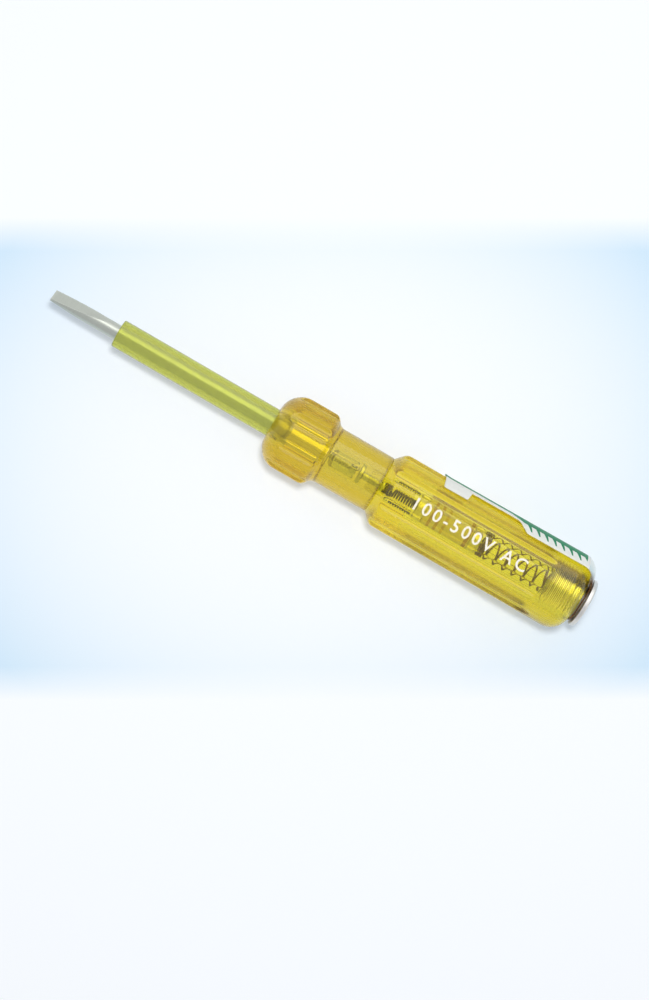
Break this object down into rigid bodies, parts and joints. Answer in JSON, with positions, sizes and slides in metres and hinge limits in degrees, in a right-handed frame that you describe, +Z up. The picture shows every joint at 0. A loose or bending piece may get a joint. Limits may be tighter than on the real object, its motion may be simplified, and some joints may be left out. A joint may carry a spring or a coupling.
{
  "type": "voltage tester screwdriver",
  "caption": "Flat-blade voltage tester screwdriver with a sleeved blade, a clear fluted handle holding a neon lamp, resistor and springs, a screwed end plug and a pocket clip.",
  "frame": {"origin": "centre of the footprint at ground level, under the tool as it lies on its grip", "axes": "+X along the tool from the blade's tip to the end plug, +Y towards the pocket clip, +Z up through the land that would carry the marking"},
  "size_m": [0.13, 0.0177, 0.0171],
  "materials": {
    "blade_steel": "satin plated steel",
    "sleeve_plastic": "glossy translucent yellow-green tube",
    "handle_plastic": "glossy transparent amber",
    "lamp_glass": "clear glass",
    "nickel": "bright nickel",
    "contact_brass": "turned brass",
    "spring_wire": "dark drawn spring wire",
    "resistor_coat": "lacquered coating with colour bands",
    "plug_metal": "nickel plated turned metal",
    "clip_enamel": "bright sheet with green enamel and white stripes"
  },
  "bodies": {
    "handle": {"front_handle": "handle_plastic", "rear_handle": "handle_plastic", "blade": "blade_steel", "blade_sleeve": "sleeve_plastic", "lamp_glass": "lamp_glass", "lamp_seal": "lamp_glass", "lamp_electrode_upper": "nickel", "lamp_electrode_lower": "nickel", "lamp_lead_front": "nickel", "lamp_lead_rear": "nickel", "lamp_contact": "contact_brass", "front_spring": "spring_wire", "resistor_body": "resistor_coat", "resistor_cap_front": "nickel", "resistor_cap_rear": "nickel", "resistor_lead_front": "nickel", "resistor_lead_rear": "nickel"},
    "spring": {"rear_spring": "spring_wire"},
    "plug": {"end_plug": "plug_metal"},
    "clip": {"pocket_clip": "clip_enamel"}
  },
  "joints": [
    {"name": "plug_withdraw", "type": "slide", "parent": "handle", "child": "spring", "axis": [1, 0, 0], "range_m": [0, 0.0069]},
    {"name": "plug_turn", "type": "hinge", "parent": "spring", "child": "plug", "pos_m": [0.065, -0.0004, 0.00845], "axis": [1, 0, 0], "range_deg": [0, 3312]},
    {"name": "clip_swivel", "type": "hinge", "parent": "spring", "child": "clip", "pos_m": [0.0635, -0.0004, 0.00845], "axis": [1, 0, 0], "continuous": true}
  ],
  "couplings": [
    {"joint": "plug_turn", "follows": "plug_withdraw", "rad_per_m": 8377.6}
  ]
}
